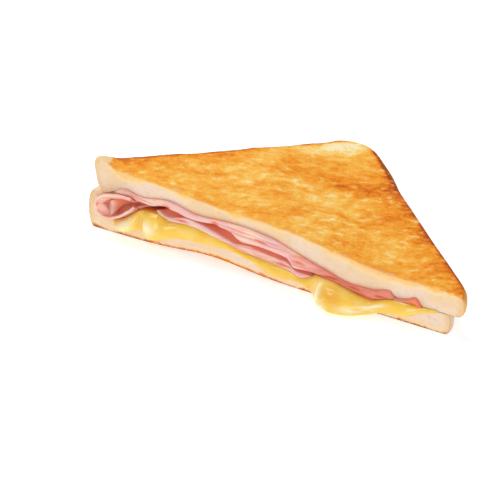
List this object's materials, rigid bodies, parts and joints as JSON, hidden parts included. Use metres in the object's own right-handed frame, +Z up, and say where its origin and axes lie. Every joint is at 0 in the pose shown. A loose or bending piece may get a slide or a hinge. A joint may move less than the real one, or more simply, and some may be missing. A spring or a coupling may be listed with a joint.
{
  "type": "toasted sandwich half",
  "caption": "Diagonal half of a toasted ham and cheese sandwich, lying flat, with browned crust sides, a long cut face, folded ham and melted cheese that runs out of the cut.",
  "frame": {"origin": "on the resting face, under the centroid of the triangle that the diagonal cut leaves", "axes": "+X along the cut face towards the thin right tip, +Y from the cut face to the back corner where the crust sides meet, +Z up through the layers"},
  "size_m": [0.1582, 0.0884, 0.0315],
  "materials": {
    "toasted_bread": "dry toasted bread, browned in patches",
    "ham": "moist sliced ham",
    "melted_cheese": "glossy melted cheese"
  },
  "bodies": {
    "root": {"bread_bottom": "toasted_bread", "bread_top": "toasted_bread", "cheese": "melted_cheese", "ham_lower": "ham", "ham_upper": "ham", "ham_roll": "ham", "ham_inner_fold": "ham", "ham_scrap": "ham"}
  },
  "joints": []
}
